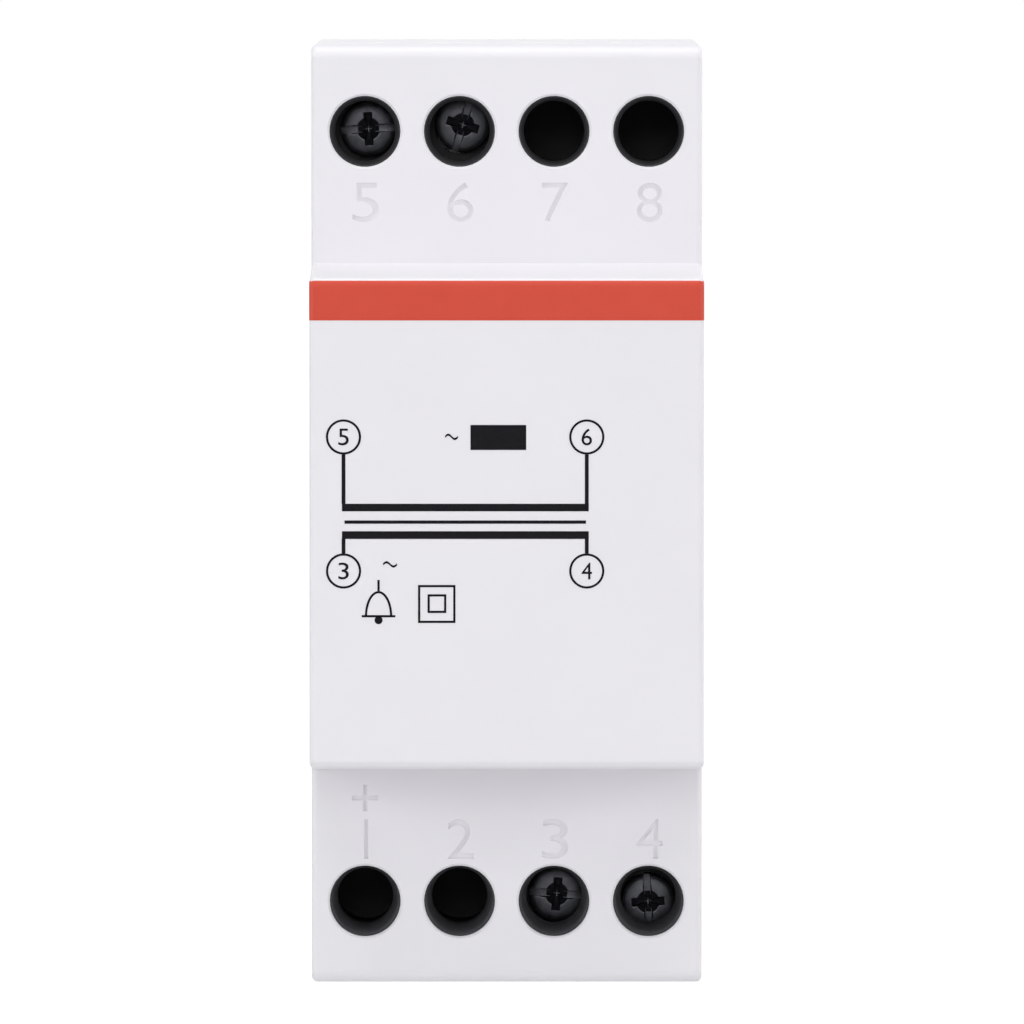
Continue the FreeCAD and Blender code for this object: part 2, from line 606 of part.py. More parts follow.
def make_terminal_block(end):
    """Two clamp chambers behind their screw wells, and beside them two deep wells that stay empty."""
    body = new_body("terminal_block_" + end)
    low, high = stretch(end, "end_block_low", "end_block_high")
    prism(body, "Pad", "XZ_Plane", "block_front", "block_back", "-block_half", "block_half", low, high)
    row = outward(end, "end_row")
    first, empty = "-1.5 * well_pitch", "0.5 * well_pitch"
    if end == "bottom":
        first, empty = empty, first
    well = disc(body, "Pocket", "XZ_Plane", "-shoulder_depth", "web_front", first, row, "well_radius")
    shank = disc(body, "Pocket", "XZ_Plane", "web_front - seat_plate", "web_back + seat_plate",
                 first, row, "screw_radius + screw_float")
    repeat(body, [well, shank], 2)
    low, high = stretch(end, "end_chamber_low", "end_chamber_high")
    chamber = prism(body, "Pocket", "XZ_Plane", "web_back", "block_back + seat_plate",
                    first + " - chamber_width / 2", first + " + chamber_width / 2", low, high)
    repeat(body, [chamber], 2)
    low, high = stretch(end, "end_chamber_high - seat_plate", "end_block_high + shell_wall")
    wire_hole = disc(body, "Pocket", "XY_Plane", low, high, first, "wire_middle", "wire_radius")
    repeat(body, [wire_hole], 2)
    low, high = stretch(end, "end_block_low - seat_plate", "end_chamber_high + bar_bed + seat_gap / 2")
    bar_slot = prism(body, "Pocket", "XY_Plane", low, high,
                     first + " - bar_width / 2 - seat_gap / 2", first + " + bar_width / 2 + seat_gap / 2",
                     "bar_front - seat_gap / 2", "bar_back + seat_gap / 2")
    repeat(body, [bar_slot], 2)
    blind = disc(body, "Pocket", "XZ_Plane", "-shoulder_depth", "block_back - empty_floor",
                 empty, row, "well_radius")
    repeat(body, [blind], 2)


def make_screw(number):
    body = new_body("terminal_screw_" + number)
    length = "screw_tip - head_top"
    profile = [
        ("0 * head_radius", "0 * head_radius"), ("head_radius - head_bevel", "0 * head_radius"),
        ("head_radius", "head_bevel"), ("head_radius", "head_height"), ("screw_radius", "head_height"),
        ("screw_radius", length), ("0 * head_radius", length),
    ]
    sketch = new_sketch(body, "XY_Plane", "0 * head_radius")
    add_polygon(sketch, profile)
    turned = body.newObject("PartDesign::Revolution", body.Name + "_turned")
    turned.Profile = sketch
    turned.ReferenceAxis = (sketch, ["V_Axis"])
    turned.Angle = 360
    body.Tip = turned
    prism(body, "Pocket", "XZ_Plane", "-slot_depth", "slot_depth", "-2 * head_radius", "2 * head_radius",
          "-slot_width / 2", "slot_width / 2")
    for wide, tall in (("cross_span", "cross_width"), ("cross_width", "cross_span")):
        prism(body, "Pocket", "XZ_Plane", "-cross_depth", "cross_depth",
              "-%s / 2" % wide, "%s / 2" % wide, "-%s / 2" % tall, "%s / 2" % tall)
    body.Placement.Rotation = FreeCAD.Rotation(FreeCAD.Vector(0, -1, 0), SETTLED[number][-1])
    place_unit(body, number, "head_top")


def place_unit(item, number, depth):
    """Puts a clamp piece where its unit has settled."""
    place, end, across, up = SETTLED[number][:-1]
    bind(item, "Placement.Base.x", "%s + %s * head_room" % (place, across))
    bind(item, "Placement.Base.y", depth)
    bind(item, "Placement.Base.z", "%s + %s * head_room" % (outward(end, "end_row"), up))


def make_cage(number):
    body = new_body("clamp_cage_" + number)
    half = "cage_length / 2"
    prism(body, "Pad", "XY_Plane", "-" + half, half,
          "-cage_width / 2", "cage_width / 2", "0 * cage_width", "cage_depth")
    across = size("cage_width") / 2
    dress(body, "Fillet", "Radius", "cage_round",
          lambda edge: runs_along(edge, "z") and abs(abs(edge.BoundBox.Center.x) - across) < 1e-4)
    prism(body, "Pocket", "XY_Plane", "-cage_length", "cage_length",
          "cage_side - cage_width / 2", "cage_width / 2 - cage_side", "cage_head", "cage_depth - cage_floor")
    disc(body, "Pocket", "XZ_Plane", "-cage_head", "2 * cage_head",
         "0 * cage_width", "0 * cage_width", "screw_radius + thread_gap")
    place_unit(body, number, "cage_front")


def make_bar(number):
    place, end = SETTLED[number][:2]
    bar = keep(doc.addObject("Part::Box", "contact_bar_" + number), "contact_bar_" + number)
    low, high = stretch(end, "end_bar_low", "end_chamber_high + bar_bed")
    bind(bar, "Length", "bar_width")
    bind(bar, "Width", "bar_thick")
    bind(bar, "Height", "(%s) - (%s)" % (high, low))
    bind(bar, "Placement.Base.x", "%s - bar_width / 2" % place)
    bind(bar, "Placement.Base.y", "bar_front")
    bind(bar, "Placement.Base.z", low)


def make_core():
    comb = [
        ("core_front", "core_low"), ("core_back", "core_low"), ("core_back", "window_high"),
        ("core_back - core_yoke", "window_high"), ("core_back - core_yoke", "window_low"),
        ("core_middle + leg_half", "window_low"), ("core_middle + leg_half", "window_high"),
        ("core_middle - leg_half", "window_high"), ("core_middle - leg_half", "window_low"),
        ("core_front + core_yoke", "window_low"), ("core_front + core_yoke", "window_high"),
        ("core_front", "window_high"),
    ]
    body = new_body("core_e_stack")
    extrude(body, "Pad", "YZ_Plane", "-core_stack / 2", "core_stack / 2",
            lambda sketch: add_polygon(sketch, comb))
    body = new_body("core_i_stack")
    prism(body, "Pad", "YZ_Plane", "-core_stack / 2", "core_stack / 2",
          "core_front", "core_back", "window_high + core_joint", "core_top")


def make_bobbin():
    body = new_body("bobbin")
    across, deep = "tube_inside_across", "tube_inside_deep"
    prism(body, "Pad", "XY_Plane", "bobbin_low", "bobbin_high", "-%s - tube_wall" % across,
          across + " + tube_wall", "core_middle - %s - tube_wall" % deep, "core_middle + %s + tube_wall" % deep)
    for low, high in (("bobbin_low", "bobbin_low + flange_wall"),
                      ("bobbin_middle - flange_wall / 2", "bobbin_middle + flange_wall / 2"),
                      ("bobbin_high - flange_wall", "bobbin_high")):
        prism(body, "Pad", "XY_Plane", low, high, "-flange_across", "flange_across",
              "core_middle - flange_deep", "core_middle + flange_deep")
    prism(body, "Pocket", "XY_Plane", "core_low", "core_top", "-" + across, across,
          "core_middle - " + deep, "core_middle + " + deep)
    for place, low, high in (("-1.5 * well_pitch", "primary_high", "core_high"),
                             ("link_place", "primary_high", "core_high"),
                             ("1.5 * well_pitch", "core_low", "secondary_low"),
                             ("-link_place", "core_low", "secondary_low")):
        prism(body, "Pocket", "XY_Plane", low, high, place + " - lead_radius - lead_room",
              place + " + lead_radius + lead_room", "bar_middle - lead_radius - lead_room",
              "bar_middle + lead_radius + lead_room")


def make_sleeve(label, low, high, inside, outside, inner_round, outer_round):
    """A ring round the bobbin's tube, from its two outlines' margins to the tube and to the flanges."""
    body = new_body(label)
    outlines = (("Pad", "flange_across - %s" % outside, "flange_deep - %s" % outside, outer_round),
                ("Pocket", inside[0], inside[1], inner_round))
    for kind, across, deep, corner in outlines:
        extrude(body, kind, "XY_Plane", low, high,
                lambda sketch: add_rounded(sketch, "-(%s)" % across, across, "core_middle - (%s)" % deep,
                                           "core_middle + %s" % deep, corner))


def make_windings(side):
    low, high = side + "_low", side + "_high"
    inside = ("tube_inside_across + tube_wall + winding_gap", "tube_inside_deep + tube_wall + winding_gap")
    make_sleeve(side + "_winding", low, high, inside, "winding_inset", "tube_round", "winding_round")
    inside = ("flange_across - winding_inset + winding_gap / 2", "flange_deep - winding_inset + winding_gap / 2")
    make_sleeve(side + "_tape", low + " + tape_inset", high + " - tape_inset", inside,
                "(winding_inset - winding_gap / 2 - tape_wall)", "winding_round", "winding_round + tape_wall")


def make_cutout():
    body = new_body("thermal_cutout")
    middle = "-0.5 * well_pitch"
    prism(body, "Pad", "XY_Plane", "core_top", "cutout_top",
          middle + " - cutout_length / 2", middle + " + cutout_length / 2",
          "bar_middle - cutout_depth / 2", "bar_middle + cutout_depth / 2")
    dress(body, "Fillet", "Radius", "cutout_round", lambda edge: runs_along(edge, "z"))


def make_straight_lead(label, across, low, high):
    lead = keep(doc.addObject("Part::Prism", label), label)
    lead.Polygon = WIRE_FLATS
    bind(lead, "Circumradius", "lead_radius")
    bind(lead, "Height", "(%s) - (%s) - 2 * lead_gap" % (high, low))
    bind(lead, "Placement.Base.x", across)
    bind(lead, "Placement.Base.y", "bar_middle")
    bind(lead, "Placement.Base.z", "%s + lead_gap" % low)


def bent_path(places, bend):
    """Straight runs joined by tangent arcs of one radius."""
    edges = []
    start = places[0]
    for index in range(1, len(places) - 1):
        corner = places[index]
        back = (places[index - 1] - corner).normalize()
        on = (places[index + 1] - corner).normalize()
        half_turn = (math.pi - back.getAngle(on)) / 2
        reach = bend * math.tan(half_turn)
        first, last = corner + back * reach, corner + on * reach
        bisector = (back + on).normalize()
        middle = corner + bisector * (bend / math.cos(half_turn) - bend)
        edges.append(Part.LineSegment(start, first).toShape())
        edges.append(Part.Arc(first, middle, last).toShape())
        start = last
    edges.append(Part.LineSegment(start, places[-1]).toShape())
    return Part.Wire(edges)


def ring_points(centre, direction, radius):
    """The closed outline of a wire with flats, square to its direction."""
    arm = direction.cross(FreeCAD.Vector(0, 1, 0)).normalize() * radius
    turns = [FreeCAD.Rotation(direction, 360 / WIRE_FLATS * step) for step in range(WIRE_FLATS + 1)]
    return [centre + turn.multVec(arm) for turn in turns]


def make_bent_lead(label, places):
    depth = size("bar_middle")
    points = [FreeCAD.Vector(size(across), depth, size(up)) for across, up in places]
    path = bent_path(points, size("lead_bend"))
    start = (points[1] - points[0]).normalize()
    ring = Part.makePolygon(ring_points(points[0], start, size("lead_radius")))
    lead = keep(doc.addObject("Part::Feature", label), label)
    lead.Shape = path.makePipeShell([ring], True, False)
    lead.Placement = FreeCAD.Placement()


def make_leads():
    make_straight_lead("lead_5", "-1.5 * well_pitch", "primary_high", "top_bar_low")
    make_straight_lead("lead_6", "-0.5 * well_pitch", "cutout_top", "top_bar_low")
    make_straight_lead("lead_4", "1.5 * well_pitch", "-bottom_bar_low", "secondary_low")
    run = "core_top + cutout_height / 2"
    make_bent_lead("lead_link", [
        ("link_place", "primary_high + lead_gap"), ("link_place", run),
        ("cutout_length / 2 - 0.5 * well_pitch + lead_gap", run)])
    middle = "(core_low - bottom_bar_low) / 2"
    make_bent_lead("lead_3", [
        ("-link_place", "secondary_low - lead_gap"), ("-link_place", middle),
        ("0.5 * well_pitch", middle), ("0.5 * well_pitch", "lead_gap - bottom_bar_low")])


def check_and_write():
    doc.recompute()
    failed = [item.Label for item in doc.Objects if {"Invalid", "Error"} & set(item.State)]
    if failed:
        raise RuntimeError("failed objects: " + ", ".join(failed))
    for item in subparts:
        if item.Shape.isNull() or not item.Shape.isValid():
            raise RuntimeError("bad shape: " + item.Label)
    os.makedirs("parts", exist_ok=True)
    for item in subparts:
        item.Shape.exportStep("parts/%s.step" % item.Label)
        box = item.Shape.BoundBox
        print("%-24s solids %d volume %9.2f  x %7.2f %7.2f  y %7.2f %7.2f  z %7.2f %7.2f" % (
            item.Label, len(item.Shape.Solids), item.Shape.Volume,
            box.XMin, box.XMax, box.YMin, box.YMax, box.ZMin, box.ZMax))


make_front_cover()
make_rear_base()
make_rail_clip()
make_clip_spring()
for end in ENDS:
    make_terminal_block(end)
for unit in SETTLED:
    make_screw(unit)
    make_cage(unit)
    make_bar(unit)
make_core()
make_bobbin()
for side in ("primary", "secondary"):
    make_windings(side)
make_cutout()
make_leads()
check_and_write()
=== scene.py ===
import json
import math

import bpy
from mathutils import Matrix, Vector


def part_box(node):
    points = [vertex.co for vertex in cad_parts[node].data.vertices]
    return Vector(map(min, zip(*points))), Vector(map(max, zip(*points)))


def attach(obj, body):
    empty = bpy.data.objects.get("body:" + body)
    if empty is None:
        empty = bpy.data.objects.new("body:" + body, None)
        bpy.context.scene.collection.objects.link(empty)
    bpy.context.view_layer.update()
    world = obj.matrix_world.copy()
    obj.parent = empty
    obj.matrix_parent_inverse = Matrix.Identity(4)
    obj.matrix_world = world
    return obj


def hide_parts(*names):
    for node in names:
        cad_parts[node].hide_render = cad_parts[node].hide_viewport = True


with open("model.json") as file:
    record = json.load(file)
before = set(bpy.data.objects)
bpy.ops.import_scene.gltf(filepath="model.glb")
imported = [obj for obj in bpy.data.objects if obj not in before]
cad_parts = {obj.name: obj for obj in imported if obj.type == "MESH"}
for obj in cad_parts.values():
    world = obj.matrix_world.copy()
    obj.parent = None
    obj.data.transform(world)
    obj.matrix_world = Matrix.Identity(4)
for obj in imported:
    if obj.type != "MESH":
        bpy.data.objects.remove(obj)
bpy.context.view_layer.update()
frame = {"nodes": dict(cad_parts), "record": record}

# Looks of a two-module doorbell transformer, seen from the front
# X is the width, the front faces -Y, Z is up, and lengths are in metres
MM = 0.001
RIDES_ON = "housing"

# Turns what is drawn flat to face the front
TO_FRONT = Matrix.Rotation(math.radians(90), 4, "X")

# Corners nearer than a weld are one, an edge under a sliver goes, and a face looks up or down
# from this share of its normal on
WELD = 0.001 * MM
SLIVER = 0.0001 * MM
FACING = 0.9
CURVE_STEPS = 6

# Places that the frame gives
NOSE_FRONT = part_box("front_cover")[0].y
NOSE_RISE = 14 * MM
SHOULDER_FRONT = NOSE_FRONT + NOSE_RISE
WELLS = {row["name"][-1]: row["box_m"] for row in frame["record"]["physics"]["openings"]
         if row["name"].startswith("screw_well")}

# Cover, with angles here and below in degrees
COVER_WELD = 0.0005 * MM
COVER_SMOOTH = 32

# Print on the nose, which is sunk by half of what it stands proud
INK_RISE = 0.02 * MM
INK_THICKNESS = 1.5 * INK_RISE
BAND_LOW = 18.12 * MM
BAND_HIGH = 21.59 * MM
BAND_WRAP = 1 * MM
LEFT_RING = -14.55 * MM
RIGHT_RING = 7.14 * MM
UPPER_RING = 7.73 * MM
LOWER_RING = -4.23 * MM
RING_RADIUS = 1.57 * MM
RING_LINE = 0.2 * MM
RING_SIDES = 56
RING_DIGIT = 1.5 * MM
RING_DIGIT_HALF = 0.31 * RING_DIGIT
STEM_LINE = 0.34 * MM
BAR_OVERHANG = (0.14 * MM, 0.18 * MM)
CORE_BAR_INSET = (0.23 * MM, 0.25 * MM)
UPPER_BAR = (1.10 * MM, 1.77 * MM)
CORE_BAR = (-0.01 * MM, 0.28 * MM)
LOWER_BAR = (-1.37 * MM, -0.68 * MM)
FIELD = (-3.23 * MM, 1.74 * MM, 6.57 * MM, 8.80 * MM)
WAVES = ((-5.50 * MM, -4.34 * MM, 7.74 * MM), (-11.03 * MM, -9.78 * MM, -3.64 * MM))
WAVE_LINE = 0.2 * MM
WAVE_SWING = 0.19 * MM
WAVE_STEPS = 20
SQUARE_OUTER = (-7.91 * MM, -4.57 * MM, -8.87 * MM, -5.48 * MM)
SQUARE_INNER = (-7.06 * MM, -5.39 * MM, -7.98 * MM, -6.31 * MM)
SQUARE_LINE = 0.2 * MM
BELL_MIDDLE = -11.43 * MM
BELL_TIP = -5.03 * MM
BELL_TOP = -6.02 * MM
BELL_FOOT = -8.27 * MM
BELL_HALF = 1.22 * MM
BELL_BRIM = 1.5 * MM
BELL_LINE = 0.2 * MM
BELL_SIDES = 64
CLAPPER_PLACE = -8.62 * MM
CLAPPER_RADIUS = 0.36 * MM
CLAPPER_SIDES = 32

# Numbers sunk in the shoulders
DIGIT_WIDTH = 2.4 * MM
DIGIT_HEIGHT = 3.55 * MM
ONE_WIDTH = 0.42 * MM
DIGIT_DEPTH = 0.2 * MM
DIGIT_SLOPE = 0.05 * MM
CUTTER_HALF = 3 * DIGIT_DEPTH
CUTTER_OUT = CUTTER_HALF - DIGIT_DEPTH
DIGIT_SHIFT = 0.1 * MM
UPPER_DIGIT_STEP = 6.39 * MM
LOWER_DIGIT_STEP = 5.61 * MM
PLUS_SIZE = 2.4 * MM
PLUS_FROM_WELL = 9.32 * MM

# Collars in the screw wells, drawn with the shoulder at zero and the well going down
COLLAR_SIDES = 64
COLLAR_EDGE = (3.16 * MM, -0.35 * MM)
COLLAR_INSIDE = {"upper": (2.72 * MM, -3 * MM), "lower": (2.5 * MM, -3 * MM)}
COLLAR_LIFT = {"upper": 0, "lower": 0.34 * MM}
COLLAR_BACK = 3.9 * MM
COLLAR_STEPS = 9
COLLAR_SMOOTH = 40

# Clamp screws, drawn with their axis upright and the top of the head at zero
SLOT_TURNS = {"5": 3, "6": 73, "3": -5, "4": 93}
SCREW_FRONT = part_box("terminal_screw_5")[0].y
SCREW_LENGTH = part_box("terminal_screw_5")[1].y - SCREW_FRONT
SCREW_SMOOTH = 30
HEAD_SIDES = 64
HEAD_RADIUS = 2.5 * MM
HEAD_HEIGHT = 1.7 * MM
HEAD_STEPS = ((0.06 * MM, 0.14 * MM), (0.14 * MM, 0.09 * MM), (0.3 * MM, 0.05 * MM),
              (0.4 * MM, 0.045 * MM), (0.4 * MM, 0.03 * MM), (0.4 * MM, 0.015 * MM))
SLOT_SIZE = (6 * MM, 0.66 * MM, 0.7 * MM)
SLOT_TAPER = 0.9
CROSS_SIZE = (3.1 * MM, 0.8 * MM, 1.5 * MM)
CROSS_TAPER = 0.17
PIT_RADIUS = 1.05 * MM
PIT_TIP = PIT_RADIUS / 10
PIT_MOUTH = PIT_RADIUS * 1.45
PIT_DEPTH = 1.6 * MM
PIT_CUTTER = PIT_DEPTH * 1.5
PIT_SIDES = 32
SCREW_EDGE = 0.06 * MM
SCREW_EDGE_ANGLE = 35
SHANK_RADIUS = 1.5 * MM
THREAD_PITCH = 0.5 * MM
THREAD_DEPTH = 0.24 * MM
THREAD_SIDES = 32
THREAD_ROOT = SHANK_RADIUS - THREAD_DEPTH
CORE_RADIUS = THREAD_ROOT + THREAD_DEPTH / 8
CORE_TOP = -1.65 * MM

# Grains and pitches of the finishes
MOULD_GRAIN = 0.16 * MM
FINE_GRAIN = 0.12 * MM
TURNING_PITCH = 0.11 * MM
CRYSTAL = 0.5 * MM
LAMINATION = 0.5 * MM
WIRE_PITCH = 0.32 * MM
FILM_LAP = 3.1 * MM

# Camera of the photograph
PHOTO_DISTANCE = 1300 * MM
PHOTO_PITCH = math.radians(2.5)
PHOTO_TARGET = Vector((0.473, -44, 0.425)) * MM
PHOTO_LENS = 507.03
VIEW_END = 20

# Lamps: place, target, width, height, power and tint
LAMPS = {
    "upper_front": ((-0.15, -0.85, 0.95), (0, -0.04, 0), 1.1, 0.9, 0.8, (1.0, 0.995, 0.985)),
    "above": ((0, -0.3, 1.2), (0, -0.03, 0), 1.0, 0.8, 8.9, (1.0, 0.998, 0.99)),
    "over_camera": ((-0.1, -1.6, 0.4), (0, -0.04, 0), 0.5, 0.35, 2.2, (0.97, 0.985, 1.0)),
    "left": ((-1.25, -0.75, 0.15), (0, -0.04, 0), 0.8, 1.2, 9.2, (0.985, 0.99, 1.0)),
    "right": ((1.25, -0.75, 0.15), (0, -0.04, 0), 0.8, 1.2, 8.7, (0.985, 0.985, 1.0)),
    "behind": ((1.3, 0.9, 0.35), (0, 0, 0), 1.0, 0.9, 4.5, (1.0, 1.0, 1.0)),
}

# Room and floor
ROOM_TINT = (0.98, 0.99, 1.0)
ROOM_LEVEL = 0.3
WHITE = (1, 1, 1)
FLOOR_PLACE = -0.16
FLOOR_RADIUS = 8
FLOOR_SIDES = 96
FLOOR_TINT = (0.8, 0.8, 0.8)
FLOOR_ROUGHNESS = 0.8
FLOOR_GLOW = 1.6
FLOOR_WHITENED = 0.6


class Signal:
    """A socket that Python's operators work on, each adding its own Math node."""

    def __init__(self, graph, socket):
        self.graph = graph
        self.socket = socket

    def maths(self, operation, *values):
        return self.graph.node("ShaderNodeMath", {"operation": operation}, dict(enumerate(values)))

    def __add__(self, other):
        return self.maths("ADD", self, other)

    __radd__ = __add__

    def __mul__(self, other):
        return self.maths("MULTIPLY", self, other)

    __rmul__ = __mul__

    def fraction(self):
        return self.maths("FRACT", self)

    def larger(self, other):
        return self.maths("MAXIMUM", self, other)

    def sine(self):
        return self.maths("SINE", self)


class Graph:
    """A node tree whose new nodes all come from one method."""

    def __init__(self, tree):
        self.tree = tree

    def node(self, kind, settings, sockets, output=0):
        """Adds a node, its settings first, then the values or links of its sockets."""
        added = self.tree.nodes.new(kind)
        for name, value in settings.items():
            if name == "stops":
                set_stops(added.color_ramp, value)
            else:
                setattr(added, name, value)
        for name, value in sockets.items():
            self.feed(added.inputs[name], value)
        return Signal(self, added.outputs[output])

    def feed(self, socket, value):
        if isinstance(value, Signal):
            self.tree.links.new(value.socket, socket)
        else:
            socket.default_value = value

    def ray(self, kind):
        """1 for one kind of ray and 0 for the others."""
        return self.node("ShaderNodeLightPath", {}, {}, kind)

    def either(self, amount, first, second, output):
        """Ends the tree in two shaders, the second one by an amount."""
        mixed = self.node("ShaderNodeMixShader", {}, {0: amount, 1: first, 2: second})
        self.feed(self.tree.nodes[output].inputs["Surface"], mixed)


class Finish(Graph):
    """A material on the main shader, with its constants on the shader's own sockets."""

    def __init__(self, name, **constants):
        self.material = bpy.data.materials.new(name)
        self.material.use_nodes = True
        super().__init__(self.material.node_tree)
        self.shader = self.tree.nodes["Principled BSDF"]
        for socket, value in constants.items():
            self.feed(self.shader.inputs[socket.replace("_", " ")], value)
        self.place = self.node("ShaderNodeTexCoord", {}, {}, "Object")

    def noise(self, grain, detail, stretch=(1, 1, 1)):
        """Cloudy noise from 0 to 1 whose clouds are about one grain wide."""
        place = self.node("ShaderNodeMapping", {}, {"Vector": self.place, "Scale": stretch})
        return self.node("ShaderNodeTexNoise", {},
                         {"Vector": place, "Scale": 1 / grain, "Detail": detail})

    def axis(self, letter):
        return self.node("ShaderNodeSeparateXYZ", {}, {0: self.place}, letter)

    def waves(self, along, pitch):
        """Smooth waves from 0 to 1, one for each pitch."""
        return (along * (2 * math.pi / pitch)).sine() * 0.5 + 0.5

    def ramps(self, along, pitch):
        """Straight ramps from 0 to 1, one for each pitch."""
        return (along * (1 / pitch)).fraction()

    def colour(self, amount, first, second):
        """Goes from the first colour to the second as the amount goes from 0 to 1."""
        mixed = self.node("ShaderNodeMix", {"data_type": "RGBA"},
                          {0: amount, 6: shade(*first), 7: shade(*second)}, 2)
        self.feed(self.shader.inputs["Base Color"], mixed)

    def roughness(self, value):
        self.feed(self.shader.inputs["Roughness"], value)

    def relief(self, height, depth):
        """Bumps of a depth in metres where a signal goes from 0 to 1."""
        bump = self.node("ShaderNodeBump", {},
                         {"Strength": 1.0, "Distance": depth, "Height": height}, "Normal")
        self.feed(self.shader.inputs["Normal"], bump)


def set_stops(ramp, stops):
    """Gives a ramp its places and grey values."""
    while len(ramp.elements) < len(stops):
        ramp.elements.new(1.0)
    for element, (place, value) in zip(ramp.elements, stops):
        element.position = place
        element.color = (value, value, value, 1)


def shade(red, green, blue):
    return (red, green, blue, 1)


# Finishes


def housing_plastic():
    """Light grey moulding with a spark-eroded grain and a faint cloudiness."""
    finish = Finish("housing_plastic", Specular_IOR_Level=0.45)
    clouds = finish.noise(9 * MM, 2.0)
    grain = finish.noise(MOULD_GRAIN, 1.0)
    waves = finish.noise(5 * MM, 0.0)
    finish.colour(clouds, (0.768, 0.755, 0.788), (0.793, 0.779, 0.813))
    finish.roughness(0.36 + grain * 0.16 + clouds * 0.04)
    finish.relief(grain * 0.35 + waves * 1.5, 0.006 * MM)
    return finish.material


def black_plastic(name, tone, gloss):
    """Glass-filled black moulding with short flow marks."""
    finish = Finish(name, Specular_IOR_Level=0.3)
    flow = finish.noise(1.4 * MM, 3.0, (1, 0.3, 1))
    grain = finish.noise(FINE_GRAIN, 1.0)
    finish.colour(flow, (tone, tone, tone * 1.1), (tone * 1.7, tone * 1.7, tone * 1.9))
    finish.roughness(gloss + flow * 0.12 + grain * 0.06)
    finish.relief(grain * 0.6 + flow, 0.004 * MM)
    return finish.material


def band_ink():
    """Red print, a little uneven where it took on the grain."""
    finish = Finish("band_ink", Specular_IOR_Level=0.3)
    grain = finish.noise(MOULD_GRAIN, 1.0)
    clouds = finish.noise(3 * MM, 2.0)
    finish.colour(clouds * 0.6 + grain * 0.4, (0.56, 0.052, 0.028), (0.64, 0.074, 0.041))
    finish.roughness(0.34 + grain * 0.14)
    finish.relief(grain, 0.003 * MM)
    return finish.material


def line_ink():
    """Black print, slightly thin on the grain's tips."""
    finish = Finish("line_ink", Specular_IOR_Level=0.08)
    grain = finish.noise(MOULD_GRAIN, 1.0)
    finish.colour(grain, (0.004, 0.004, 0.005), (0.011, 0.010, 0.013))
    finish.roughness(0.36 + grain * 0.16)
    finish.relief(grain, 0.003 * MM)
    return finish.material


def turned_steel(number):
    """Dark zinc-plated steel with turning marks round one screw's axis."""
    finish = Finish("screw_steel_" + number, Metallic=0.85)
    low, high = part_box("terminal_screw_" + number)
    middle = (low + high) / 2
    centred = finish.node("ShaderNodeMapping", {"vector_type": "POINT"},
                          {"Vector": finish.place, "Location": (-middle.x, 0, -middle.z),
                           "Scale": (1, 0, 1)})
    from_axis = finish.node("ShaderNodeVectorMath", {"operation": "LENGTH"}, {0: centred}, "Value")
    rings = finish.waves(from_axis, TURNING_PITCH)
    stains = finish.noise(0.9 * MM, 3.0)
    finish.colour(stains, (0.036, 0.037, 0.043), (0.125, 0.129, 0.143))
    finish.roughness(0.24 + stains * 0.16 + rings * 0.05)
    finish.relief(rings * 0.5 + stains, 0.004 * MM)
    return finish.material


def plated_steel(name, dull, bright):
    """Zinc-plated sheet with fine rolling streaks and small crystals."""
    finish = Finish(name, Metallic=1.0)
    streaks = finish.noise(0.2 * MM, 2.0, (1, 0.08, 1))
    crystals = finish.node("ShaderNodeTexVoronoi", {},
                           {"Vector": finish.place, "Scale": 1 / CRYSTAL}, "Distance")
    finish.colour(streaks, dull, bright)
    finish.roughness(0.24 + crystals * 0.14 + streaks * 0.12)
    finish.relief(streaks + crystals * 0.3, 0.004 * MM)
    return finish.material


def stacked_sheets():
    """Edges of half-millimetre laminations, their varnish darker in the joints."""
    finish = Finish("core_steel", Metallic=0.7)
    across = finish.ramps(finish.axis("X"), LAMINATION)
    sheet = finish.node("ShaderNodeValToRGB",
                        {"stops": ((0.0, 0.0), (0.12, 1.0), (0.88, 1.0), (1.0, 0.0))}, {0: across})
    varnish = finish.noise(2.5 * MM, 4.0)
    finish.colour(sheet * (0.4 + varnish * 0.6), (0.035, 0.035, 0.042), (0.26, 0.26, 0.28))
    finish.roughness(0.35 + varnish * 0.25)
    finish.relief(sheet + varnish * 0.2, 0.03 * MM)
    return finish.material


def wound_wire():
    """Layers of enamelled copper wire, one turn above the other, in a cloudy copper tone with
    painted shade between the turns and painted highlights on their crests.
    """
    finish = Finish("enamelled_wire", Metallic=0.8, Coat_Roughness=0.15)
    turns = finish.waves(finish.axis("Z"), WIRE_PITCH)
    clouds = finish.noise(2 * MM, 2.0)
    # Painted shade in the grooves between turns and painted highlight on each crest, mixed with a
    # real cloudy tone
    finish.colour(turns * 0.7 + clouds * 0.3, (0.30, 0.085, 0.022), (0.78, 0.32, 0.11))
    finish.roughness(0.22 + clouds * 0.12)
    finish.relief(turns, 0.10 * MM)
    return finish.material


def wrapped_film():
    """Yellow film wrapped in laps, a little creased."""
    finish = Finish("tape", Specular_IOR_Level=0.55)
    laps = finish.ramps(finish.axis("Z"), FILM_LAP)
    creases = finish.noise(1.6 * MM, 3.0, (1, 1, 0.2))
    finish.colour(laps * 0.5 + creases * 0.5, (0.66, 0.47, 0.045), (0.86, 0.66, 0.12))
    finish.roughness(0.18 + creases * 0.18)
    finish.relief(laps + creases * 0.5, 0.03 * MM)
    return finish.material


def pale_moulding(name, low, high):
    """Unpainted nylon or ceramic with a soft grain."""
    finish = Finish(name)
    clouds = finish.noise(2.2 * MM, 3.0)
    grain = finish.noise(0.2 * MM, 1.0)
    finish.colour(clouds, low, high)
    finish.roughness(0.42 + grain * 0.16)
    finish.relief(grain + clouds, 0.006 * MM)
    return finish.material


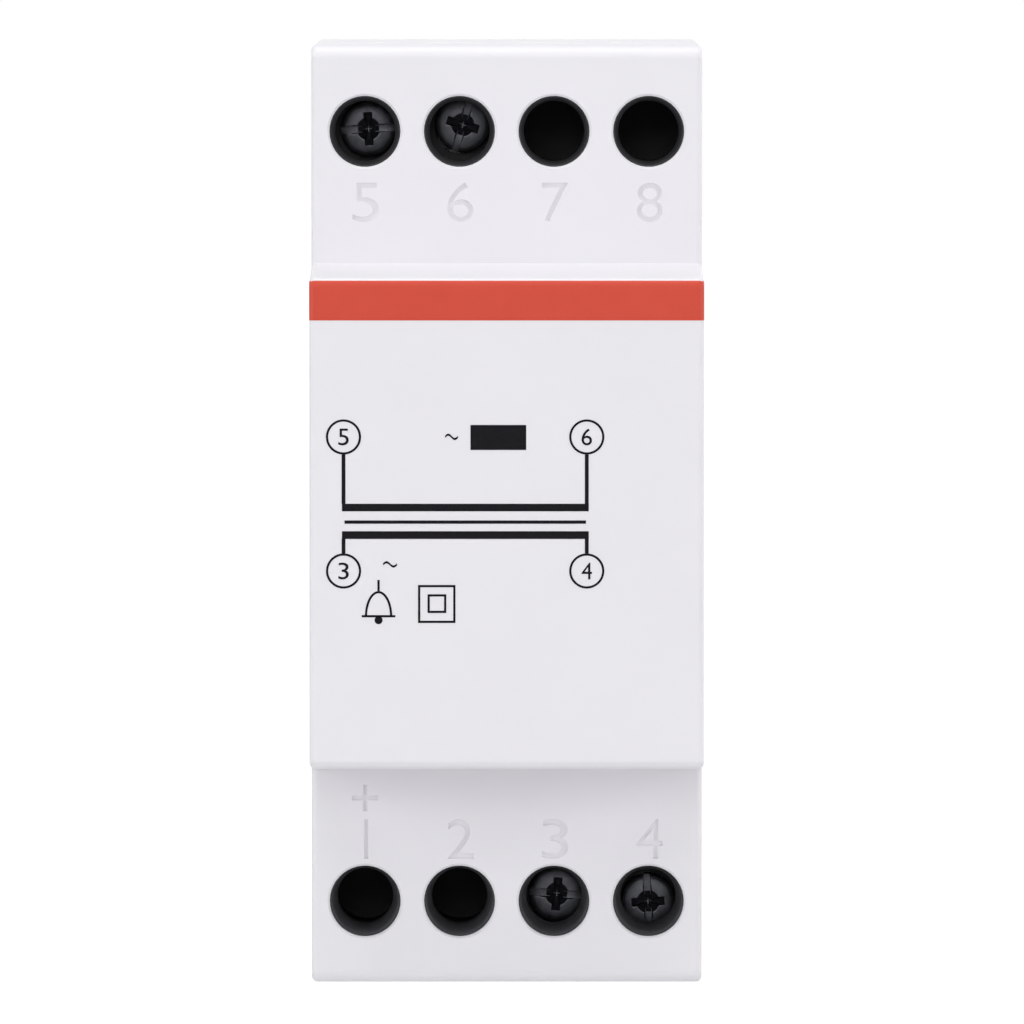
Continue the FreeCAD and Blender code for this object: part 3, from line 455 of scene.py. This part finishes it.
def wire_insulation():
    """Extruded insulation with faint draw lines."""
    finish = Finish("lead_insulation")
    lines = finish.noise(FINE_GRAIN, 1.0, (1, 1, 0.1))
    finish.colour(lines, (0.38, 0.022, 0.016), (0.52, 0.040, 0.026))
    finish.roughness(0.40 + lines * 0.15)
    finish.relief(lines, 0.006 * MM)
    return finish.material


# Modelling by hand


def deselect():
    bpy.ops.object.select_all(action="DESELECT")


def added(name, add, **values):
    """Adds a primitive alone in the selection and names it."""
    deselect()
    add(**values)
    piece = bpy.context.active_object
    piece.name = name
    piece.data.name = name
    return piece


def select_only(*pieces):
    deselect()
    for piece in pieces:
        piece.select_set(True)
    bpy.context.view_layer.objects.active = pieces[0]


def copied(source, name):
    """A copy with its own mesh."""
    piece = source.copy()
    piece.data = source.data.copy()
    piece.name = name
    piece.data.name = name
    bpy.context.scene.collection.objects.link(piece)
    return piece


def pick(piece, kind, test):
    """Goes to edit mode with only the faces or corners selected that a test picks."""
    select_only(piece)
    bpy.ops.object.mode_set(mode="EDIT")
    bpy.ops.mesh.select_mode(type=kind)
    bpy.ops.mesh.select_all(action="DESELECT")
    bpy.ops.object.mode_set(mode="OBJECT")
    if kind == "FACE":
        for face in piece.data.polygons:
            face.select = test(face.center, face.normal)
    else:
        for corner in piece.data.vertices:
            corner.select = test(corner.co)
    bpy.ops.object.mode_set(mode="EDIT")


def pick_all(piece):
    pick(piece, "VERT", lambda place: True)


def leave_edit():
    bpy.ops.object.mode_set(mode="OBJECT")


def apply_place(piece):
    select_only(piece)
    bpy.ops.object.transform_apply(location=True, rotation=True, scale=True)


def apply_modifier(piece, kind, **settings):
    modifier = piece.modifiers.new(kind.lower(), kind)
    for name, value in settings.items():
        setattr(modifier, name, value)
    select_only(piece)
    bpy.ops.object.modifier_apply(modifier=modifier.name)


def joined(name, pieces):
    select_only(*pieces)
    bpy.ops.object.join()
    piece = bpy.context.active_object
    piece.name = name
    piece.data.name = name
    return piece


def smoothed(piece, angle):
    """Smooth shading up to an angle, with the large flat faces kept flat."""
    select_only(piece)
    bpy.ops.object.shade_smooth_by_angle(angle=math.radians(angle))
    apply_modifier(piece, "WEIGHTED_NORMAL", keep_sharp=True, weight=100)


def finished(piece, material):
    """Gives a piece its material and hangs it on the housing."""
    piece.data.materials.clear()
    piece.data.materials.append(material)
    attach(piece, RIDES_ON)


def shifted(across, deep, up):
    return Matrix.Translation((across, deep, up))


def bounds_of(piece):
    places = [corner.co for corner in piece.data.vertices]
    low = Vector([min(place[axis] for place in places) for axis in range(3)])
    high = Vector([max(place[axis] for place in places) for axis in range(3)])
    return low, high


def fit_to(piece, left, right, low, high):
    """Scales and moves a mesh that lies flat in X and Y to a box that stands in X and Z."""
    start, end = bounds_of(piece)
    across, up = (right - left) / (end.x - start.x), (high - low) / (end.y - start.y)
    sized = Matrix.Diagonal((across, up, 1, 1))
    middle = Matrix.Translation(-(start + end) / 2)
    place = shifted((left + right) / 2, 0, (low + high) / 2)
    piece.data.transform(place @ TO_FRONT @ sized @ middle)


# The cover and its numbers


def number_cutter(text, left, right, low, high):
    """A solid number whose deep side is narrower, to sink it with sloping walls."""
    cutter = added("number_" + text, bpy.ops.object.text_add)
    cutter.data.body = text
    cutter.data.size = DIGIT_HEIGHT
    cutter.data.resolution_u = CURVE_STEPS
    cutter.data.extrude = CUTTER_HALF
    cutter.data.bevel_depth = DIGIT_SLOPE
    cutter.data.bevel_resolution = 0
    cutter.data.offset = -DIGIT_SLOPE
    select_only(cutter)
    bpy.ops.object.convert(target="MESH")
    pick_all(cutter)
    bpy.ops.mesh.remove_doubles(threshold=WELD)
    bpy.ops.mesh.normals_make_consistent(inside=False)
    leave_edit()
    fit_to(cutter, left, right, low, high)
    cutter.data.transform(shifted(0, SHOULDER_FRONT - CUTTER_OUT - DIGIT_SLOPE, 0))
    return cutter


def number_box(number):
    """Where a terminal's number stands, between its screw hole and the nose."""
    low, high = WELLS[number]
    across = (low[0] + high[0]) / 2 + DIGIT_SHIFT
    row = (low[2] + high[2]) / 2
    up = row - UPPER_DIGIT_STEP if row > 0 else row + LOWER_DIGIT_STEP
    wide = ONE_WIDTH / 2 if number == "1" else DIGIT_WIDTH / 2
    return across - wide, across + wide, up - DIGIT_HEIGHT / 2, up + DIGIT_HEIGHT / 2


def plus_cutter():
    low, high = WELLS["1"]
    across = (low[0] + high[0]) / 2
    up = (low[2] + high[2]) / 2 + PLUS_FROM_WELL
    half = PLUS_SIZE / 2
    return number_cutter("+", across - half, across + half, up - half, up + half)


def close_slits(piece):
    """Joins the edges that the cutting left side by side in a straight line."""
    pick_all(piece)
    bpy.ops.mesh.fill_holes(sides=0)
    bpy.ops.mesh.select_all(action="SELECT")
    bpy.ops.mesh.dissolve_degenerate(threshold=SLIVER)
    leave_edit()


def make_cover(material):
    cover = copied(frame["nodes"]["front_cover"], "cover_shell")
    select_only(cover)
    bpy.ops.mesh.customdata_custom_splitnormals_clear()
    pick_all(cover)
    bpy.ops.mesh.remove_doubles(threshold=COVER_WELD)
    leave_edit()
    cutters = [number_cutter(number, *number_box(number)) for number in WELLS]
    cutter = joined("sunk_numbers", cutters + [plus_cutter()])
    apply_modifier(cover, "BOOLEAN", operation="DIFFERENCE", solver="EXACT", object=cutter)
    bpy.data.objects.remove(cutter)
    close_slits(cover)
    smoothed(cover, COVER_SMOOTH)
    finished(cover, material)
    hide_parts("front_cover")
    return cover


def make_band(cover, material):
    """The red band, which takes the cover's own skin round the corners of the nose."""
    band = copied(cover, "red_band")
    band.parent = None
    cuts = (((0, 0, BAND_LOW), (0, 0, -1)), ((0, 0, BAND_HIGH), (0, 0, 1)),
            ((0, NOSE_FRONT + BAND_WRAP, 0), (0, 1, 0)))
    pick_all(band)
    for place, outwards in cuts:
        bpy.ops.mesh.select_all(action="SELECT")
        bpy.ops.mesh.bisect(plane_co=place, plane_no=outwards, clear_outer=True)
    leave_edit()
    apply_modifier(band, "SOLIDIFY", thickness=INK_RISE, offset=1.0)
    smoothed(band, COVER_SMOOTH)
    finished(band, material)


# Collars of the screw wells


def make_collar_model(row, material):
    """A ring drawn down the well along a quarter of an ellipse, then closed along the wall."""
    edge_radius, edge_place = COLLAR_EDGE
    inside_radius, inside_place = COLLAR_INSIDE[row]
    path = []
    for step in range(1, COLLAR_STEPS + 1):
        turned = math.pi / 2 * step / COLLAR_STEPS
        path.append((inside_radius + (edge_radius - inside_radius) * (1 - math.sin(turned)),
                     inside_place + (edge_place - inside_place) * math.cos(turned),
                     COLLAR_LIFT[row] * math.sin(turned)))
    path += [(inside_radius, -COLLAR_BACK, COLLAR_LIFT[row]), (edge_radius, -COLLAR_BACK, 0)]
    collar = added("collar_model", bpy.ops.mesh.primitive_circle_add, vertices=COLLAR_SIDES,
                   radius=edge_radius, fill_type="NOTHING", location=(0, 0, edge_place))
    apply_place(collar)
    pick_all(collar)
    radius, place, lift = edge_radius, edge_place, 0
    for next_radius, next_place, next_lift in path:
        move = (0, next_lift - lift, next_place - place)
        bpy.ops.mesh.extrude_edges_move(TRANSFORM_OT_translate={"value": move})
        bpy.ops.transform.resize(value=(next_radius / radius, next_radius / radius, 1),
                                 center_override=(0, next_lift, next_place))
        radius, place, lift = next_radius, next_place, next_lift
    bpy.ops.mesh.select_all(action="DESELECT")
    bpy.ops.mesh.select_mode(type="EDGE")
    bpy.ops.mesh.select_non_manifold()
    bpy.ops.mesh.bridge_edge_loops()
    bpy.ops.mesh.select_all(action="SELECT")
    bpy.ops.mesh.normals_make_consistent(inside=False)
    leave_edit()
    collar.data.materials.append(material)
    return collar


def make_collars(material):
    """The lower row's mouths are drawn up a little, so that each has a wider ramp below."""
    models = {row: make_collar_model(row, material) for row in COLLAR_INSIDE}
    for number, (low, high) in WELLS.items():
        row = "upper" if low[2] > 0 else "lower"
        collar = copied(models[row], "collar_" + number)
        place = shifted((low[0] + high[0]) / 2, SHOULDER_FRONT, (low[2] + high[2]) / 2)
        collar.data.transform(place @ TO_FRONT)
        smoothed(collar, COLLAR_SMOOTH)
        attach(collar, RIDES_ON)
    for model in models.values():
        bpy.data.objects.remove(model)


# Clamp screws


def tapered_cutter(length, width, depth, taper, turned):
    """A bar that is narrower at its foot, and that stands out of the head."""
    cutter = added("cutter", bpy.ops.mesh.primitive_cube_add, size=1, location=(0, 0, -depth / 2))
    cutter.scale = (length, width, depth)
    cutter.rotation_euler.z = math.radians(turned)
    apply_place(cutter)
    pick(cutter, "FACE", lambda place, normal: normal.z < -FACING)
    bpy.ops.transform.resize(value=(taper, taper, 1))
    leave_edit()
    pick(cutter, "FACE", lambda place, normal: normal.z > FACING)
    bpy.ops.mesh.extrude_region_move(TRANSFORM_OT_translate={"value": (0, 0, depth)})
    leave_edit()
    return cutter


def pit_cutter():
    """The cone in the middle of the recess, which stands out of the head."""
    cutter = added("cutter", bpy.ops.mesh.primitive_cone_add, vertices=PIT_SIDES, radius1=PIT_TIP,
                   radius2=PIT_MOUTH, depth=PIT_CUTTER, location=(0, 0, PIT_CUTTER / 2 - PIT_DEPTH))
    apply_place(cutter)
    return cutter


def make_screw_model():
    """A domed head with a slot across a cross recess, on a threaded shank."""
    rise = sum(step[1] for step in HEAD_STEPS)
    height = HEAD_HEIGHT - rise
    head = added("screw_model", bpy.ops.mesh.primitive_cylinder_add, vertices=HEAD_SIDES,
                 radius=HEAD_RADIUS, depth=height, location=(0, 0, -rise - height / 2))
    apply_place(head)
    pick(head, "FACE", lambda place, normal: normal.z > FACING)
    for inwards, upwards in HEAD_STEPS:
        bpy.ops.mesh.inset(thickness=inwards, depth=upwards)
    leave_edit()
    cutters = (tapered_cutter(*SLOT_SIZE, SLOT_TAPER, 0),
               tapered_cutter(*CROSS_SIZE, CROSS_TAPER, 0),
               tapered_cutter(*CROSS_SIZE, CROSS_TAPER, 90),
               pit_cutter())
    for cutter in cutters:
        apply_modifier(head, "BOOLEAN", operation="DIFFERENCE", solver="EXACT", object=cutter)
        bpy.data.objects.remove(cutter)
    apply_modifier(head, "BEVEL", width=SCREW_EDGE, segments=2, limit_method="ANGLE",
                   angle_limit=math.radians(SCREW_EDGE_ANGLE), harden_normals=False)
    return joined("screw_model", [head, make_thread()])


def make_thread():
    """One tooth of the thread, wound down the shank on a solid core."""
    turns = int((SCREW_LENGTH - HEAD_HEIGHT) / THREAD_PITCH) - 1
    tooth = added("thread", bpy.ops.mesh.primitive_plane_add, size=THREAD_PITCH)
    pick(tooth, "VERT", lambda place: place.x > 0)
    bpy.ops.mesh.delete(type="VERT")
    bpy.ops.mesh.select_all(action="SELECT")
    bpy.ops.mesh.subdivide(number_cuts=1)
    leave_edit()
    for corner in tooth.data.vertices:
        across = THREAD_ROOT + THREAD_DEPTH * (1 - 2 * abs(corner.co.y) / THREAD_PITCH)
        corner.co = (across, 0, corner.co.y)
    apply_modifier(tooth, "SCREW", screw_offset=THREAD_PITCH, iterations=turns,
                   steps=THREAD_SIDES, render_steps=THREAD_SIDES)
    tooth.data.transform(shifted(0, 0, -SCREW_LENGTH + THREAD_PITCH))
    core = added("shank", bpy.ops.mesh.primitive_cylinder_add, vertices=THREAD_SIDES,
                 radius=CORE_RADIUS, depth=SCREW_LENGTH + CORE_TOP,
                 location=(0, 0, (CORE_TOP - SCREW_LENGTH) / 2))
    apply_place(core)
    return joined("thread", [core, tooth])


def make_screws():
    model = make_screw_model()
    for number, turn in SLOT_TURNS.items():
        screw = copied(model, "screw_" + number)
        low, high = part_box("terminal_screw_" + number)
        turned = Matrix.Rotation(math.radians(turn), 4, "Z")
        place = shifted((low.x + high.x) / 2, SCREW_FRONT, (low.z + high.z) / 2)
        screw.data.transform(place @ TO_FRONT @ turned)
        smoothed(screw, SCREW_SMOOTH)
        screw.data.materials.append(turned_steel(number))
        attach(screw, "screw_" + number)
        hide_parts("terminal_screw_" + number)
    bpy.data.objects.remove(model)


# Print


def ink_plate(name, left, right, low, high):
    """A flat bar of ink that stands a little proud of the nose."""
    plate = added(name, bpy.ops.mesh.primitive_plane_add, size=1)
    fit_to(plate, left, right, low, high)
    return thickened(plate)


def thickened(plate):
    """Gives a flat face on the ink's plane the thickness of the ink."""
    plate.data.transform(shifted(0, NOSE_FRONT + INK_RISE / 2, 0))
    pick_all(plate)
    bpy.ops.mesh.extrude_region_move(TRANSFORM_OT_translate={"value": (0, -INK_THICKNESS, 0)})
    bpy.ops.mesh.select_all(action="SELECT")
    bpy.ops.mesh.normals_make_consistent(inside=False)
    leave_edit()
    return plate


def ink_disc(name, sides, radius):
    return added(name, bpy.ops.mesh.primitive_circle_add, vertices=sides, radius=radius,
                 fill_type="NGON")


def hollow(plate, line):
    """Leaves only a line along the edge of a flat face."""
    pick_all(plate)
    bpy.ops.mesh.inset(thickness=line, depth=0)
    bpy.ops.mesh.delete(type="FACE")
    leave_edit()


def ink_ring(name, across, up, radius, line):
    """A disc with its middle taken out."""
    ring = ink_disc(name, RING_SIDES, radius)
    hollow(ring, line)
    fit_to(ring, across - radius, across + radius, up - radius, up + radius)
    return thickened(ring)


def ink_frame(name, left, right, low, high, line):
    plate = added(name, bpy.ops.mesh.primitive_plane_add, size=1)
    fit_to(plate, left, right, low, high)
    hollow(plate, line)
    return thickened(plate)


def ink_digit(text, across, up):
    digit = added("ink_" + text, bpy.ops.object.text_add)
    digit.data.body = text
    digit.data.size = RING_DIGIT
    digit.data.resolution_u = CURVE_STEPS
    select_only(digit)
    bpy.ops.object.convert(target="MESH")
    pick_all(digit)
    bpy.ops.mesh.remove_doubles(threshold=WELD)
    leave_edit()
    fit_to(digit, across - RING_DIGIT_HALF, across + RING_DIGIT_HALF,
           up - RING_DIGIT / 2, up + RING_DIGIT / 2)
    return thickened(digit)


def ink_wave(name, left, right, up):
    """One swing of an alternating current, a strip bent along a sine."""
    strip = added(name, bpy.ops.mesh.primitive_grid_add, x_subdivisions=WAVE_STEPS,
                  y_subdivisions=1, size=1)
    fit_to(strip, left, right, up - WAVE_LINE / 2, up + WAVE_LINE / 2)
    for corner in strip.data.vertices:
        corner.co.z += WAVE_SWING * math.sin(2 * math.pi * (corner.co.x - left) / (right - left))
    return thickened(strip)


def make_numbered_rings(material):
    rings = []
    for number, across, up in (("5", LEFT_RING, UPPER_RING), ("6", RIGHT_RING, UPPER_RING),
                               ("3", LEFT_RING, LOWER_RING), ("4", RIGHT_RING, LOWER_RING)):
        rings.append(ink_ring("ring_" + number, across, up, RING_RADIUS, RING_LINE))
        rings.append(ink_digit(number, across, up))
    finished(joined("numbered_rings", rings), material)


def make_coil_symbol(material):
    """The two windings and the core between them, with stems to their terminals."""
    half = STEM_LINE / 2
    left, right = LEFT_RING - BAR_OVERHANG[0], RIGHT_RING + BAR_OVERHANG[1]
    bars = [ink_plate("bar", left, right, *UPPER_BAR),
            ink_plate("bar", left + CORE_BAR_INSET[0], right - CORE_BAR_INSET[1], *CORE_BAR),
            ink_plate("bar", left, right, *LOWER_BAR)]
    for across in (LEFT_RING, RIGHT_RING):
        for low, high in ((UPPER_BAR[1], UPPER_RING - RING_RADIUS),
                          (LOWER_RING + RING_RADIUS, LOWER_BAR[0])):
            bars.append(ink_plate("stem", across - half, across + half, low, high))
    finished(joined("coil_symbol", bars), material)


def make_bell_symbol(material):
    """Half a ring drawn out to a dome, with its brim, stem and clapper."""
    height = BELL_TOP - BELL_FOOT
    dome = ink_disc("dome", BELL_SIDES, 1)
    fit_to(dome, BELL_MIDDLE - BELL_HALF, BELL_MIDDLE + BELL_HALF, BELL_FOOT - height, BELL_TOP)
    hollow(dome, BELL_LINE)
    pick_all(dome)
    bpy.ops.mesh.bisect(plane_co=(0, 0, BELL_FOOT), plane_no=(0, 0, -1), clear_outer=True)
    leave_edit()
    half = BELL_LINE / 2
    parts = [thickened(dome),
             ink_plate("brim", BELL_MIDDLE - BELL_BRIM, BELL_MIDDLE + BELL_BRIM,
                       BELL_FOOT - half, BELL_FOOT + half),
             ink_plate("stem", BELL_MIDDLE - half, BELL_MIDDLE + half, BELL_TOP, BELL_TIP)]
    clapper = ink_disc("clapper", CLAPPER_SIDES, 1)
    fit_to(clapper, BELL_MIDDLE - CLAPPER_RADIUS, BELL_MIDDLE + CLAPPER_RADIUS,
           CLAPPER_PLACE - CLAPPER_RADIUS, CLAPPER_PLACE + CLAPPER_RADIUS)
    parts.append(thickened(clapper))
    finished(joined("bell_symbol", parts), material)


def make_small_print(material):
    squares = [ink_frame("square", *square, SQUARE_LINE) for square in (SQUARE_OUTER, SQUARE_INNER)]
    finished(joined("double_square", squares), material)
    finished(ink_plate("black_field", *FIELD), material)
    waves = [ink_wave("wave", *place) for place in WAVES]
    finished(joined("current_waves", waves), material)


# Stage


def make_camera():
    backwards = Vector((0, -math.cos(PHOTO_PITCH), math.sin(PHOTO_PITCH)))
    data = bpy.data.cameras.new("photo_camera")
    data.lens = PHOTO_LENS
    data.clip_end = VIEW_END
    camera = bpy.data.objects.new("photo_camera", data)
    camera.location = PHOTO_TARGET + backwards * PHOTO_DISTANCE
    camera.rotation_euler = backwards.to_track_quat("Z", "Y").to_euler()
    bpy.context.scene.collection.objects.link(camera)
    bpy.context.scene.camera = camera


def make_lamp(name, place, target, width, height, power, tint):
    data = bpy.data.lights.new(name, "AREA")
    data.shape = "RECTANGLE"
    data.size = width
    data.size_y = height
    data.energy = power
    data.color = tint
    lamp = bpy.data.objects.new(name, data)
    lamp.location = place
    lamp.rotation_euler = (Vector(place) - Vector(target)).to_track_quat("Z", "Y").to_euler()
    bpy.context.scene.collection.objects.link(lamp)


def make_world():
    """A soft even room that the camera, gloss and glass see as white."""
    world = bpy.data.worlds.new("studio")
    world.use_nodes = True
    bpy.context.scene.world = world
    graph = Graph(world.node_tree)
    graph.tree.nodes.remove(graph.tree.nodes["Background"])
    seen = graph.ray("Is Camera Ray").larger(graph.ray("Is Glossy Ray"))
    seen = seen.larger(graph.ray("Is Transmission Ray"))
    room = graph.node("ShaderNodeBackground", {},
                      {"Color": shade(*ROOM_TINT), "Strength": ROOM_LEVEL})
    white = graph.node("ShaderNodeBackground", {}, {"Color": shade(*WHITE)})
    graph.either(seen, room, white, "World Output")


def make_floor():
    """A pale floor under the hanging device, mostly white light to the camera."""
    floor = added("floor", bpy.ops.mesh.primitive_circle_add, vertices=FLOOR_SIDES,
                  radius=FLOOR_RADIUS, fill_type="NGON", location=(0, 0, FLOOR_PLACE))
    finish = Finish("floor_paint", Base_Color=shade(*FLOOR_TINT), Roughness=FLOOR_ROUGHNESS)
    paint = Signal(finish, finish.shader.outputs["BSDF"])
    glow = finish.node("ShaderNodeEmission", {}, {"Strength": FLOOR_GLOW})
    finish.either(finish.ray("Is Camera Ray") * FLOOR_WHITENED, paint, glow, "Material Output")
    floor.data.materials.append(finish.material)


def dress_nodes(finishes):
    """Gives every node of the frame its finish by the record's slots."""
    for row in frame["record"]["subparts"]:
        node = frame["nodes"][row["node"]]
        node.data.materials.clear()
        node.data.materials.append(finishes[row["material_slot"]])


def make_finishes():
    return {
        "housing": housing_plastic(),
        "terminal_plastic": black_plastic("terminal_plastic", 0.010, 0.38),
        "screw_steel": turned_steel("5"),
        "cage_steel": plated_steel("cage_steel", (0.42, 0.43, 0.46), (0.66, 0.67, 0.70)),
        "tinned_copper": plated_steel("tinned_copper", (0.60, 0.59, 0.56), (0.78, 0.77, 0.74)),
        "clip_plastic": black_plastic("clip_plastic", 0.022, 0.42),
        "spring_steel": plated_steel("spring_steel", (0.40, 0.40, 0.42), (0.60, 0.60, 0.62)),
        "core_steel": stacked_sheets(),
        "bobbin_plastic": pale_moulding("bobbin_plastic", (0.70, 0.68, 0.60), (0.80, 0.78, 0.71)),
        "enamelled_wire": wound_wire(),
        "tape": wrapped_film(),
        "cutout_case": pale_moulding("cutout_case", (0.62, 0.62, 0.57), (0.74, 0.74, 0.70)),
        "lead_insulation": wire_insulation(),
    }


bpy.context.scene.view_settings.view_transform = "Standard"
finishes = make_finishes()
dress_nodes(finishes)
shell = make_cover(finishes["housing"])
make_band(shell, band_ink())
black_ink = line_ink()
make_numbered_rings(black_ink)
make_coil_symbol(black_ink)
make_bell_symbol(black_ink)
make_small_print(black_ink)
make_camera()
make_collars(black_plastic("collar_plastic", 0.019, 0.42))
make_screws()
make_world()
for lamp, settings in LAMPS.items():
    make_lamp(lamp, *settings)
make_floor()
